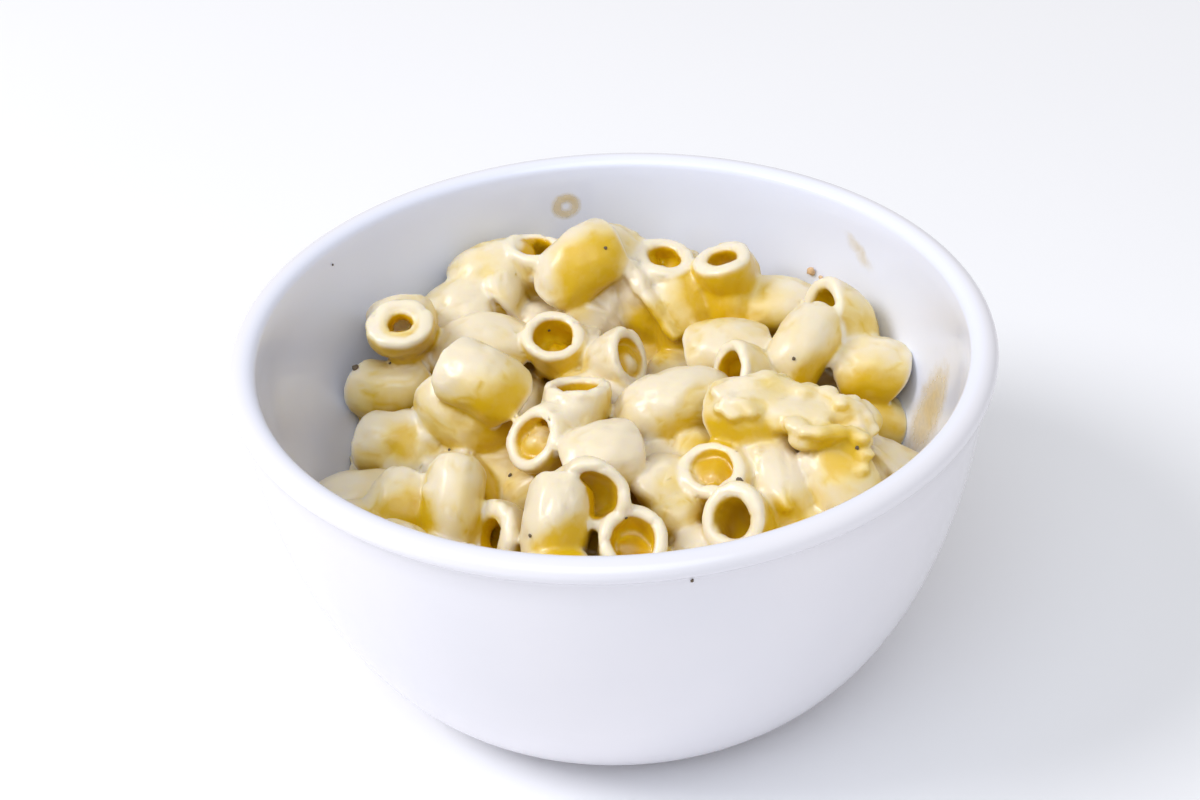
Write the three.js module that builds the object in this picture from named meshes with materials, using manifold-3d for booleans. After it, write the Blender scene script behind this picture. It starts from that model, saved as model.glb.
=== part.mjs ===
// Macaroni and cheese in a deep round white bowl.
// Millimetres, +Z up. The origin is the centre of the foot, on the surface that the bowl stands on.
// The front of the dish, where the pasta lies lowest, faces -Y.

import * as THREE from 'three'
import { mergeVertices } from 'three/addons/utils/BufferGeometryUtils.js'
import Module from 'manifold-3d'

// ---------- driving dimensions ----------

// the bowl
const BOWL_HEIGHT = 56
const LIP_OUTER_RADIUS = 57.5
const WALL_OUTER_RADIUS = 56
const WALL_THICKNESS = 3
const WALL_TOP = 52
const ROOT_OUTER_RADIUS = 30        // where the curve of the wall meets the foot
const ROOT_INNER_RADIUS = 27
const FLOOR_HEIGHT = 5
const FOOT_INNER_RADIUS = 26
const FOOT_RECESS = 1.8
const FOOT_EDGE = 1                 // width of the slope from the recess down to the foot ring
const WALL_EXPONENTS = [1.7, 2.1]   // how full the wall's curve is, by height and by radius
const LIP_HALF_THICKNESS = 2.1
const LIP_HALF_HEIGHT = 1.7
const LIP_ARC = [-60, 175]          // the part of the bead that shows, in degrees from its outer side
const LIP_STEPS = 6
const BOWL_FACETS = 48

// the pasta
const TUBE_RADIUS = 5.2
const BORE_RADIUS = 3.3
const BEND_RADIUS = 7
const MOUTH_DEPTH = 4.5             // how far the hollow is followed into an open end
const MOUTH_ROOM = 3                // clear way in front of an end that counts as open
const LINE_STEPS = 8                // points at which that way is measured from an elbow's line
const TUBE_STEPS = 3
const BORE_STEPS = 2
const TUBE_SIDES = 8
const SQUASH = 0.92                 // usual height of the section over its width

// the mass of pasta and sauce under the pieces that show
const CORE_HEIGHT = 27              // where no elbow lies near
const CORE_BELOW_ELBOWS = 2
const CORE_REACH = 6                // how far round it an elbow lifts the core
const CORE_CELLS = 14
const CORE_BASE_WEIGHT = 0.1        // pull of the base height against an elbow's
const GAP = 0.3                     // least gap between the food and the bowl
const ROOM_FACETS = 24
const WELD = 1e-4                   // corners closer than this are one

// Each elbow: x, y, z of the middle of its bend, then heading, tilt and roll of its run there,
// and how far it bends. At roll 0 both ends point down, at 180 both point up. Degrees. Two more
// numbers, where given, are how squashed it is and how wide its bore is against the usual one.
const BACK_ROW = [
  [-19.5, 42, 42, 15, 10, -5, 90],
  [-10.5, 43, 41, 40, -45, 180, 100],
  [-4.5, 36.5, 45.5, 20, 30, 30, 95],
  [2.5, 42, 43, -5, -40, -5, 70],
  [11, 40.5, 40.5, 55, -40, -170, 90, 0.92, 0.85],
  [13, 32.5, 37, -65, -55, 5, 90],
  [20.5, 35.5, 42.5, 65, -50, 160, 80, 1.08, 0.75],
  [29, 32, 38, -5, -5, 10, 100],
  [39, 23.5, 38, -40, -65, -75, 110, 1, 0.9],
  [-1, 37, 37, 65, 55, 0, 100],
  [6.5, 36, 38, -45, -45, 35, 90],
  [20.5, 33.5, 38.5, -85, -65, 0, 50, 1.05]
]
const LEFT_SIDE = [
  [-34, 25, 41.5, 95, -20, 175, 100, 0.92, 0.7],
  [-26.5, 35.5, 37.5, 25, 30, 10, 80],
  [-18.5, 40, 39.5, 95, 30, 100, 80],
  [-21, 27, 37, 0, 0, -10, 110],
  [-20.5, 9, 41, -20, -25, 35, 85],
  [-24, 10, 33, -20, -25, 105, 110],
  [-36.5, 21.5, 31.5, 0, 0, 105, 90],
  [-36, 11, 28, 0, 0, 85, 70],
  [-32.5, 9, 27, 55, 50, 20, 70],
  [-41.5, -1.5, 26, 5, 5, 20, 80],
  [-34.5, -8.5, 28.5, 35, 40, 35, 90],
  [-25.5, -10, 31, 75, 55, 20, 90, 1.1]
]
const MIDDLE = [
  [-7, 25, 35, 15, -40, -155, 100, 1],
  [-8, 3, 35.5, 50, 15, 165, 125, 1],
  [-3, 15, 32, -20, 10, 10, 90],
  [-12, -28, 29, 20, 15, -10, 90],
  [-18, -12, 25.5, 100, -45, 100, 100],
  [-9.5, -19, 34, 70, 55, 5, 80, 1.05],
  [-4.5, -15.5, 36, 130, -40, 85, 80],
  [-2, -6, 36, 15, 10, 20, 70],
  [1.5, -22, 28, -105, -80, 165, 100, 1],
  [8, -4, 28, -45, -45, 20, 90],
  [9.5, 5, 38, 5, 10, 20, 120],
  [17, -8, 33, 40, -20, -175, 90],
  [18.5, -19, 29.5, -20, -75, -95, 100, 1.08, 0.9],
  [0.5, 20, 35.5, 115, -50, -70, 80, 1]
]
const RIGHT_SIDE = [
  [30.5, 16.5, 38.5, 45, 35, 15, 90, 1.1],
  [42, 16, 35, -5, -5, 20, 70],
  [39, 12, 27, 5, 5, 25, 100],
  [19, 21, 37, -5, 0, 15, 80],
  [21.5, 13.5, 36, 80, -45, 85, 100],
  [22, -2, 40, -10, -10, 25, 100],
  [33, 4, 33, -10, -15, 25, 100],
  [24.5, -12, 31.5, -70, -45, 10, 100, 1],
  [42.5, -3.5, 27.5, -15, -25, 30, 80],
  [34, -12, 33, -55, -50, 20, 90]
]
const FRONT = [
  [-41, -14, 28, 100, 10, 0, 80],
  [-29, -18.5, 25.5, -5, -10, 40, 70],
  [-35, -24, 32, 60, 0, 10, 90],
  [-24, -31, 30, -60, -45, 180, 100],
  [-14, -39, 32, 25, 0, 15, 100],
  [-2, -34, 27, 250, -40, 170, 100],
  [7, -42, 30, -5, 0, -15, 100],
  [21, -36, 31, 140, 5, 10, 100],
  [33, -27, 30, 30, 0, -10, 100],
  [13, -31, 27, 60, -45, 175, 100],
  [-26, -35, 25, -35, 0, 0, 80],
  [27, -17.5, 26.5, 10, 15, 20, 90]
]
const NOODLES = [...BACK_ROW, ...LEFT_SIDE, ...MIDDLE, ...RIGHT_SIDE, ...FRONT]

// Lumps of melted cheese that bridge the elbows on the right: x, y, z and the three half sizes.
const CHEESE_LUMPS = [
  [20, 2, 40.5, 4, 3, 2.2],
  [25, 1, 42.5, 3.5, 3, 2.2],
  [29.5, -1.5, 42, 3.5, 3, 2],
  [34.5, -4, 41, 4, 3, 2.2],
  [38, -3.5, 39, 3, 3, 2.2],
  [28, -5, 41.5, 6, 4, 2.2],
  [30, -9.5, 41, 4, 2.5, 1.8],
  [35.5, -9.5, 39.5, 3.5, 2.5, 1.8],
  [23.5, -4, 40, 3.5, 3, 2]
]

// ---------- helpers ----------

const wasm = await Module()
wasm.setup()
const { Manifold, Mesh } = wasm

const degrees = angle => THREE.MathUtils.degToRad(angle)

// a closed mesh as a solid that can be joined and cut
function solidFrom(geometry) {
  const bare = new THREE.BufferGeometry()
  bare.setAttribute('position', geometry.getAttribute('position').clone())
  if (geometry.index) bare.setIndex(geometry.index.clone())
  const welded = mergeVertices(bare, WELD)
  return new Manifold(new Mesh({
    numProp: 3,
    vertProperties: Float32Array.from(welded.getAttribute('position').array),
    triVerts: Uint32Array.from(welded.index.array)
  }))
}

function geometryFrom(solid) {
  const mesh = solid.getMesh()
  const geometry = new THREE.BufferGeometry()
  geometry.setAttribute('position', new THREE.BufferAttribute(mesh.vertProperties, 3))
  geometry.setIndex(new THREE.BufferAttribute(mesh.triVerts, 1))
  return geometry
}

// the largest connected body: loose scraps and sealed hollows are left behind
function largestBody(solid) {
  return solid.decompose().reduce((a, b) => (b.volume() > a.volume() ? b : a))
}

// a body of revolution about Z from [radius, height] pairs, listed from the underside upwards
function turned(profile, facets) {
  const points = profile.map(([radius, height]) => new THREE.Vector2(radius, height))
  return new THREE.LatheGeometry(points, facets).rotateX(Math.PI / 2)
}

// ---------- bowl ----------

// radius of one face of the wall at a height, from its root radius, rim radius and foot height
function wallRadius(height, root, rim, foot) {
  const [byHeight, byRadius] = WALL_EXPONENTS
  const down = THREE.MathUtils.clamp((WALL_TOP - height) / (WALL_TOP - foot), 0, 1)
  return root + (rim - root) * (1 - down ** byHeight) ** (1 / byRadius)
}

const outerRadius = height => wallRadius(height, ROOT_OUTER_RADIUS, WALL_OUTER_RADIUS, 0)
const innerRadius = height =>
  wallRadius(height, ROOT_INNER_RADIUS, WALL_OUTER_RADIUS - WALL_THICKNESS, FLOOR_HEIGHT)

const OUTER_HEIGHTS = [0, 1, 4, 9, 16, 25, 37, WALL_TOP]
const INNER_HEIGHTS = [WALL_TOP, 40, 28, 19, 12, 8, FLOOR_HEIGHT]
const ROOM_HEIGHTS = [FLOOR_HEIGHT, 8, 12, 28, 40, WALL_TOP]

// the rounded bead along the rim, from its outer underside over the top to the inner wall
function lipBead() {
  const centre = LIP_OUTER_RADIUS - LIP_HALF_THICKNESS
  const middle = BOWL_HEIGHT - LIP_HALF_HEIGHT
  const arc = new THREE.EllipseCurve(centre, middle, LIP_HALF_THICKNESS, LIP_HALF_HEIGHT,
    ...LIP_ARC.map(degrees))
  return arc.getPoints(LIP_STEPS).map(point => [point.x, point.y])
}

function bowlGeometry() {
  return turned([
    [0, FOOT_RECESS],
    [FOOT_INNER_RADIUS - FOOT_EDGE, FOOT_RECESS],
    [FOOT_INNER_RADIUS, 0],
    ...OUTER_HEIGHTS.map(height => [outerRadius(height), height]),
    ...lipBead(),
    ...INNER_HEIGHTS.map(height => [innerRadius(height), height]),
    [0, FLOOR_HEIGHT]
  ], BOWL_FACETS)
}

// ---------- pasta ----------

// the centre line of an elbow: an arc in the XZ plane, middle at the origin, bending down
class ElbowCurve extends THREE.Curve {
  constructor(from, to) {
    super()
    this.from = from
    this.to = to
  }

  getPoint(t, target = new THREE.Vector3()) {
    const angle = THREE.MathUtils.lerp(this.from, this.to, t)
    return target.set(BEND_RADIUS * Math.sin(angle), 0, BEND_RADIUS * (Math.cos(angle) - 1))
  }
}

// the tube along part of an elbow's centre line, set in its place; its flat sides stand out
// a little at their corners, so that its section has the area of the round one
function tube(radius, curve, steps, squash, place) {
  const sector = 2 * Math.PI / TUBE_SIDES
  const corner = radius * Math.sqrt(sector / Math.sin(sector))
  const section = new THREE.Shape()
  section.absellipse(0, 0, corner / squash, corner * squash, 0, 2 * Math.PI, false, 0)
  const geometry = new THREE.ExtrudeGeometry(section, {
    extrudePath: curve, steps, curveSegments: TUBE_SIDES / 2
  })
  return solidFrom(geometry.applyMatrix4(place))
}

function placeOf([x, y, z, heading, tilt, roll]) {
  const turn = new THREE.Euler(degrees(roll), degrees(-tilt), degrees(heading), 'ZYX')
  return new THREE.Matrix4().makeRotationFromEuler(turn).setPosition(x, y, z)
}

function centreLine(noodle) {
  const half = degrees(noodle[6]) / 2
  return new ElbowCurve(-half, half)
}

function lineThrough(noodle) {
  const place = placeOf(noodle)
  return centreLine(noodle).getSpacedPoints(LINE_STEPS).map(point => point.applyMatrix4(place))
}

// whether nothing covers a point: it is above the core and outside all other elbows
function isFree(point, self) {
  if (point.z < coreHeight(point.x, point.y)) return false
  return NOODLES.every(other =>
    other === self || lineThrough(other).every(at => at.distanceTo(point) > TUBE_RADIUS))
}

// an elbow, hollowed from each end that isn't covered
function elbow(noodle) {
  const squash = noodle[7] ?? SQUASH
  const boreRadius = BORE_RADIUS * (noodle[8] ?? 1)
  const place = placeOf(noodle)
  const half = degrees(noodle[6]) / 2
  const depth = MOUTH_DEPTH / BEND_RADIUS
  const past = MOUTH_ROOM / BEND_RADIUS
  let solid = tube(TUBE_RADIUS, new ElbowCurve(-half, half), TUBE_STEPS, squash, place)
  for (const [from, to] of [[-half - past, -half + depth], [half + past, half - depth]]) {
    const bore = new ElbowCurve(from, to)
    if (!isFree(bore.getPoint(0).applyMatrix4(place), noodle)) continue
    solid = solid.subtract(tube(boreRadius, bore, BORE_STEPS, squash, place))
  }
  return solid
}

function cheeseLump([x, y, z, ...halfSizes]) {
  return solidFrom(new THREE.IcosahedronGeometry(1, 1).scale(...halfSizes).translate(x, y, z))
}

// the room inside the bowl, a gap clear of it all round, up to the top of the lip
function room() {
  return solidFrom(turned([
    [0, FLOOR_HEIGHT + GAP],
    ...ROOM_HEIGHTS.map(height => [innerRadius(height) - GAP, height + GAP]),
    [innerRadius(WALL_TOP) - GAP, BOWL_HEIGHT],
    [0, BOWL_HEIGHT]
  ], ROOM_FACETS))
}

// height of the core: it follows the elbows that lie on it
function coreHeight(x, y) {
  let weights = CORE_BASE_WEIGHT
  let sum = weights * CORE_HEIGHT
  for (const [noodleX, noodleY, noodleZ] of NOODLES) {
    const weight = Math.exp(-((x - noodleX) ** 2 + (y - noodleY) ** 2) / (2 * CORE_REACH ** 2))
    weights += weight
    sum += weight * (noodleZ - CORE_BELOW_ELBOWS)
  }
  return sum / weights
}

function core() {
  const width = 2 * WALL_OUTER_RADIUS
  const block = new THREE.BoxGeometry(width, width, CORE_HEIGHT, CORE_CELLS, CORE_CELLS, 1)
  block.translate(0, 0, CORE_HEIGHT / 2)
  const position = block.getAttribute('position')
  for (let i = 0; i < position.count; i++) {
    if (position.getZ(i) > 0) position.setZ(i, coreHeight(position.getX(i), position.getY(i)))
  }
  return solidFrom(block)
}

function heapGeometry() {
  const heap = Manifold.union([core(), ...NOODLES.map(elbow), ...CHEESE_LUMPS.map(cheeseLump)])
  return geometryFrom(largestBody(heap.intersect(room())))
}

// ---------- the dish ----------

const glaze = new THREE.MeshStandardMaterial({ color: '#eeeef4', roughness: 0.2, metalness: 0 })
const cheesyPasta = new THREE.MeshStandardMaterial({
  color: '#edd79b', roughness: 0.4, metalness: 0, flatShading: true
})

function named(name, geometry, material) {
  const mesh = new THREE.Mesh(geometry, material)
  mesh.name = name
  return mesh
}

const dish = new THREE.Group()
dish.add(named('bowl', bowlGeometry(), glaze))
dish.add(named('macaroni_heap', heapGeometry(), cheesyPasta))

export default dish
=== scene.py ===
# %% [markdown]
# # Macaroni and cheese in a white bowl
#
# A deep round bowl of glazed ceramic, filled with elbow macaroni in a creamy cheese sauce.
# The solids of the dish come packed as a fixed frame: a faceted bowl and a faceted heap. This
# lesson puts the real surfaces in their place: a turned bowl with a glaze, elbows of pasta that
# can be looked into, the sauce that runs between them, melted cheese, pepper and a few smears.
# Lengths are in metres, +Z is up and the front of the dish faces -Y. The noise vectors that
# shape things here start from a seed that changes with the clock unless it is set, so it is
# set first, and the dish comes out the same every time.

# %% Load the frame
import math
import random

import bmesh
import bpy
import numpy as np
from mathutils import Matrix, Vector, noise
from mathutils.bvhtree import BVHTree


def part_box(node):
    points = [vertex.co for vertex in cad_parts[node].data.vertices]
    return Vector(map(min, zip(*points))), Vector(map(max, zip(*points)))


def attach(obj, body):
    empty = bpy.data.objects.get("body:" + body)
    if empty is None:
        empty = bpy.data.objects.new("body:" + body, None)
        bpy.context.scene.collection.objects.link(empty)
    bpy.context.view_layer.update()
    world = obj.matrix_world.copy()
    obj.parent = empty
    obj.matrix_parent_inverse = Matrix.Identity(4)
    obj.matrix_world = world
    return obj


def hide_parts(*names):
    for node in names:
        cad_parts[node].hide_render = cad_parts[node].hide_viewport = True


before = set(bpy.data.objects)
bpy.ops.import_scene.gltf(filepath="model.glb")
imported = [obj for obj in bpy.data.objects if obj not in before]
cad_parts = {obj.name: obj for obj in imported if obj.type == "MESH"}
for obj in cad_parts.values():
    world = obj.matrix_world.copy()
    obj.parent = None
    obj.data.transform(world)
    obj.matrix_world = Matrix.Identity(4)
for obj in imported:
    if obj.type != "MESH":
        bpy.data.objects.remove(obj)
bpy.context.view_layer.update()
BODY = "root"
MM = 0.001
TINY = 1e-6
NOISE_SEED = 1
noise.seed_set(NOISE_SEED)
bowl_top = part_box("bowl")[1].z
heap_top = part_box("macaroni_heap")[1].z

# %% [markdown]
# ## Camera
#
# The dish is seen from the front and from above, as someone who is about to eat sees it, with
# the camera leaning a little to one side. A camera looks along its own -Z, so its matrix is put
# together from three axes: right, up and back.

# %% Camera
LENS, SENSOR = 60, 36
ELEVATION, LEAN = math.radians(34.5), math.radians(-2.9)
DISTANCE = 0.3082
TARGET = Vector((-0.00216, 0, 0.0427))

back = Vector((0, -math.cos(ELEVATION), math.sin(ELEVATION)))
level_right = Vector((1, 0, 0))
level_up = back.cross(level_right)
right = level_right * math.cos(LEAN) + level_up * math.sin(LEAN)
up = back.cross(right)
camera_data = bpy.data.cameras.new("camera")
camera_data.lens, camera_data.sensor_width = LENS, SENSOR
camera = bpy.data.objects.new("camera", camera_data)
camera.matrix_world = Matrix.Translation(TARGET + DISTANCE * back) @ Matrix(
    (right, up, back)).transposed().to_4x4()
bpy.context.scene.collection.objects.link(camera)
bpy.context.scene.camera = camera
print("camera at", tuple(round(c, 3) for c in camera.matrix_world.translation))

# %% [markdown]
# ## Shader maths
#
# A material is a graph of nodes. Written out link by link it is long and hard to read, so one
# small class wraps a socket and lets Python's own operators add the Math nodes, and one method
# adds any other node with its settings first and its inputs after.


# %% Shader maths
class Value:
    """A socket that can be reckoned with: a + b, a * 2, 1 - a."""

    def __init__(self, material, socket):
        self.material, self.socket = material, socket

    def math(self, operation, other):
        return self.material.node("Math", {"operation": operation}, self, other)

    def __add__(self, other):
        return self.math("ADD", other)

    def __mul__(self, other):
        return self.math("MULTIPLY", other)

    def __sub__(self, other):
        return self.math("SUBTRACT", other)

    def __rsub__(self, other):
        return self.material.node("Math", {"operation": "SUBTRACT"}, other, self)

    __radd__, __rmul__ = __add__, __mul__


class Finish:
    """A node material with one Principled shader."""

    def __init__(self, name, **constants):
        self.data = bpy.data.materials.new(name)
        self.data.use_nodes = True
        self.tree = self.data.node_tree
        self.shader = self.tree.nodes["Principled BSDF"]
        for socket, value in constants.items():
            self.shader.inputs[socket.replace("_", " ")].default_value = value
        self.place = self.node("TexCoord", {}, output="Object")

    def node(self, kind, settings, *inputs, output=0, **named):
        added = self.tree.nodes.new("ShaderNode" + kind)
        for key, value in settings.items():
            if key == "stops":
                self.set_stops(added.color_ramp, value)
            else:
                setattr(added, key, value)
        for key, value in [*enumerate(inputs), *named.items()]:
            socket = added.inputs[key.replace("_", " ") if isinstance(key, str) else key]
            if isinstance(value, Value):
                self.tree.links.new(value.socket, socket)
            else:
                socket.default_value = value
        return Value(self, added.outputs[output])

    @staticmethod
    def set_stops(ramp, stops):
        while len(ramp.elements) < len(stops):
            ramp.elements.new(1)
        for element, (position, tint) in zip(ramp.elements, stops):
            element.position, element.color = position, (*tint, 1)

    def noise(self, scale, detail=2):
        return self.node("TexNoise", {}, Vector=self.place, Scale=scale, Detail=detail)

    def attribute(self, name):
        return self.node("Attribute", {"attribute_name": name}, output="Fac")

    def steps(self, value, low, high):
        """0 below low, 1 above high, smooth between."""
        return self.node("MapRange", {"interpolation_type": "SMOOTHSTEP"}, Value=value,
                         From_Min=low, From_Max=high)

    def mix(self, factor, a, b):
        """One colour going over into another."""
        node = self.tree.nodes.new("ShaderNodeMix")
        node.data_type = "RGBA"
        factor_socket, a_socket, b_socket = (node.inputs[i] for i in ("Factor", 6, 7))
        for socket, value in ((factor_socket, factor), (a_socket, a), (b_socket, b)):
            if isinstance(value, Value):
                self.tree.links.new(value.socket, socket)
            else:
                socket.default_value = (*value, 1) if isinstance(value, tuple) else value
        return Value(self, node.outputs[2])

    def bump(self, height, distance, strength):
        return self.node("Bump", {}, Strength=strength, Distance=distance, Height=height)

    def feed(self, **links):
        for socket, value in links.items():
            self.tree.links.new(value.socket, self.shader.inputs[socket.replace("_", " ")])


def colour(red, green, blue):
    """A colour given as on a screen, 0 to 255, made linear as the shader wants it."""
    shares = [value / 255 for value in (red, green, blue)]
    return tuple(share / 12.92 if share < 0.0431 else ((share + 0.055) / 1.055) ** 2.4
                 for share in shares)


print("shader maths ready")

# %% [markdown]
# ## Pieces
#
# The real dish comes apart into the bowl and what lies in it, and each kind of thing is one
# piece here. A finished piece is an object at the origin with its place in its mesh. It rides
# on the frame's body, stands for the solid that it replaces and takes its finish from a slot.


# %% Pieces
def piece(name, bm, material, replaces):
    mesh = bpy.data.meshes.new(name)
    bm.to_mesh(mesh)
    bm.free()
    made = bpy.data.objects.new(name, mesh)
    bpy.context.scene.collection.objects.link(made)
    mesh.materials.append(material)
    mesh.shade_smooth()
    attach(made, BODY)
    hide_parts(replaces)
    print(name, len(mesh.vertices), "points,",
          sum(len(face.vertices) - 2 for face in mesh.polygons), "triangles")


print("pieces ride on", BODY)

# %% [markdown]
# ## The bowl
#
# A potter turns a bowl on a wheel, and Spin does the same with an outline: half of the bowl's
# section, from the middle of the underside over the lip to the middle of the floor. The wall
# is a superellipse, steep near the top and rounding in to the foot, and the lip is a bead.

# %% Bowl outline
BOWL_HEIGHT = bowl_top
LIP_OUTER_RADIUS = 57.5 * MM
WALL_OUTER_RADIUS = 56 * MM
WALL_THICKNESS = 3 * MM
WALL_TOP = 52 * MM
ROOT_OUTER_RADIUS = 30 * MM
ROOT_INNER_RADIUS = 27 * MM
FLOOR_HEIGHT = 5 * MM
FOOT_INNER_RADIUS = 26 * MM
FOOT_RECESS = 1.8 * MM
BY_HEIGHT, BY_RADIUS = 1.7, 2.1
FOOT_EDGE = [(1.2 * MM, FOOT_RECESS), (0.8 * MM, 1.4 * MM), (0.4 * MM, 0.3 * MM), (0, 0)]
LIP_HALF_THICKNESS = 2.1 * MM
LIP_HALF_HEIGHT = 1.7 * MM
LIP_FROM, LIP_TO = -60, 175
WALL_STEPS, LIP_STEPS = 28, 14


def wall_radius(height, root, rim, foot):
    down = min(max((WALL_TOP - height) / (WALL_TOP - foot), 0), 1)
    return root + (rim - root) * (1 - down ** BY_HEIGHT) ** (1 / BY_RADIUS)


def outer_radius(height):
    return wall_radius(height, ROOT_OUTER_RADIUS, WALL_OUTER_RADIUS, 0)


def inner_radius(height):
    return wall_radius(height, ROOT_INNER_RADIUS, WALL_OUTER_RADIUS - WALL_THICKNESS,
                       FLOOR_HEIGHT)


def wall_points(radius_at, foot):
    """Points up one face of the wall, closer together near the foot, where it curves most."""
    heights = [foot + (WALL_TOP - foot) * (i / WALL_STEPS) ** 2 for i in range(WALL_STEPS + 1)]
    return [(radius_at(height), height) for height in heights]


def lip_points():
    angles = np.radians(np.linspace(LIP_FROM, LIP_TO, LIP_STEPS + 1))
    return [(LIP_OUTER_RADIUS - LIP_HALF_THICKNESS * (1 - math.cos(angle)),
             BOWL_HEIGHT - LIP_HALF_HEIGHT * (1 - math.sin(angle))) for angle in angles]


outline = [(0, FOOT_RECESS), (FOOT_INNER_RADIUS / 2, FOOT_RECESS)]
outline += [(FOOT_INNER_RADIUS - inwards, height) for inwards, height in FOOT_EDGE]
outline += wall_points(outer_radius, 0) + lip_points()
outline += wall_points(inner_radius, FLOOR_HEIGHT)[::-1] + [(0, FLOOR_HEIGHT)]
print("bowl outline of", len(outline), "points")

# %% [markdown]
# ## Turning and glazing
#
# The outline is swept once round the middle line, and the points on that line are merged. The
# glaze is a clear coat over white clay: glossy, faintly cloudy and not quite even. Inside the
# bowl the white is painted cooler and bluer, a painted cool shade of the inner wall; each vertex
# stores how far inwards it lies, and the glaze goes over from one white to the other by that
# value.

# %% Turn the bowl
TURN_STEPS = 160
OUTER_WHITES = (colour(234, 232, 238), colour(230, 229, 236))
# Painted cool shade: the glaze is the same inside, only the light there is cooler and weaker.
INNER_WHITE_PAINTED_COOL = colour(232, 237, 255)
GLAZE_RIPPLE = 0.15 * MM


def turned(outline, steps):
    """A body of revolution about Z, from an outline that starts and ends on the axis."""
    bm = bmesh.new()
    points = [bm.verts.new((radius, 0, height)) for radius, height in outline]
    edges = [bm.edges.new(pair) for pair in zip(points, points[1:])]
    bmesh.ops.spin(bm, geom=points + edges, cent=(0, 0, 0), axis=(0, 0, 1), angle=math.tau,
                   steps=steps, use_merge=True)
    bmesh.ops.remove_doubles(bm, verts=bm.verts, dist=TINY)
    bmesh.ops.recalc_face_normals(bm, faces=bm.faces)
    return bm


glaze = Finish("white_glaze", Roughness=0.22, IOR=1.5, Coat_Weight=0.3, Coat_Roughness=0.08)
clouding = glaze.noise(28, detail=3)
outer_white = glaze.mix(glaze.steps(clouding, 0.35, 0.7), *OUTER_WHITES)
glaze.feed(Base_Color=glaze.mix(glaze.attribute("inside"), outer_white, INNER_WHITE_PAINTED_COOL),
           Roughness=0.2 + 0.08 * clouding,
           Normal=glaze.bump(glaze.noise(60, detail=1), GLAZE_RIPPLE, 0.25))
bowl_body = turned(outline, TURN_STEPS)
inside = bowl_body.verts.layers.float.new("inside")
for vert in bowl_body.verts:
    if vert.co.z > FLOOR_HEIGHT - TINY:
        depth = outer_radius(vert.co.z) - math.hypot(vert.co.x, vert.co.y)
        vert[inside] = min(max(depth / WALL_THICKNESS, 0), 1)
piece("glazed_bowl", bowl_body, glaze.data, "bowl")

# %% [markdown]
# ## The elbows
#
# Elbow macaroni is a short bent tube. Each row gives where the middle of its bend lies, then
# the heading, tilt and roll of its run there, and how far it bends. Two more numbers, where
# given, are how squashed its section is and how wide its bore is against the usual one. At
# roll 0 both ends point down, at 180 both point up. Angles in degrees.

# %% Where the elbows lie
BACK_ROW = [
    (-.0195, .042, .042, 15, 10, -5, 90),
    (-.0105, .043, .041, 40, -45, 180, 100),
    (-.0045, .0365, .0455, 20, 30, 30, 95),
    (.0025, .042, .043, -5, -40, -5, 70),
    (.011, .0405, .0405, 55, -40, -170, 90, 0.92, 0.85),
    (.013, .0325, .037, -65, -55, 5, 90),
    (.0205, .0355, .0425, 65, -50, 160, 80, 1.08, 0.75),
    (.029, .032, .038, -5, -5, 10, 100),
    (.039, .0235, .038, -40, -65, -75, 110, 1, 0.9),
    (-.001, .037, .037, 65, 55, 0, 100),
    (.0065, .036, .038, -45, -45, 35, 90),
    (.0205, .0335, .0385, -85, -65, 0, 50, 1.05),
]
LEFT_SIDE = [
    (-.034, .025, .0415, 95, -20, 175, 100, 0.92, 0.58),
    (-.0265, .0355, .0375, 25, 30, 10, 80),
    (-.0185, .040, .0395, 95, 30, 100, 80),
    (-.021, .027, .037, 0, 0, -10, 110),
    (-.0205, .009, .041, -20, -25, 35, 85),
    (-.024, .010, .033, -20, -25, 105, 110),
    (-.0365, .0215, .0315, 0, 0, 105, 90),
    (-.036, .011, .028, 0, 0, 85, 70),
    (-.0325, .009, .027, 55, 50, 20, 70),
    (-.0415, -.0015, .026, 5, 5, 20, 80),
    (-.0345, -.0085, .0285, 35, 40, 35, 90),
    (-.0255, -.010, .031, 75, 55, 20, 90, 1.1),
]
MIDDLE = [
    (-.007, .025, .035, 15, -40, -155, 100, 1),
    (-.008, .003, .0355, 50, 15, 165, 125, 1),
    (-.003, .015, .032, -20, 10, 10, 90),
    (-.012, -.028, .029, 20, 15, -10, 90),
    (-.018, -.012, .0255, 100, -45, 100, 100, 0.92, 0.75),
    (-.0095, -.019, .034, 70, 55, 5, 80, 1.05),
    (-.0045, -.0155, .036, 130, -40, 85, 80),
    (-.002, -.006, .036, 15, 10, 20, 70),
    (.0015, -.022, .028, -105, -80, 165, 100, 1),
    (.008, -.004, .028, -45, -45, 20, 90),
    (.0095, .005, .038, 5, 10, 20, 120),
    (.017, -.008, .033, 40, -20, -175, 90),
    (.0185, -.019, .0295, -20, -75, -95, 100, 1.08, 0.9),
    (.0005, .020, .0355, 115, -50, -70, 80, 1),
]
RIGHT_SIDE = [
    (.0305, .0165, .0385, 45, 35, 15, 90, 1.1),
    (.042, .016, .035, -5, -5, 20, 70),
    (.039, .012, .027, 5, 5, 25, 100),
    (.019, .021, .037, -5, 0, 15, 80),
    (.0215, .0135, .036, 80, -45, 85, 100),
    (.022, -.002, .040, -10, -10, 25, 100),
    (.033, .004, .033, -10, -15, 25, 100),
    (.0245, -.012, .0315, -70, -45, 10, 100, 1),
    (.0425, -.0035, .0275, -15, -25, 30, 80),
    (.034, -.012, .033, -55, -50, 20, 90),
]
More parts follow.
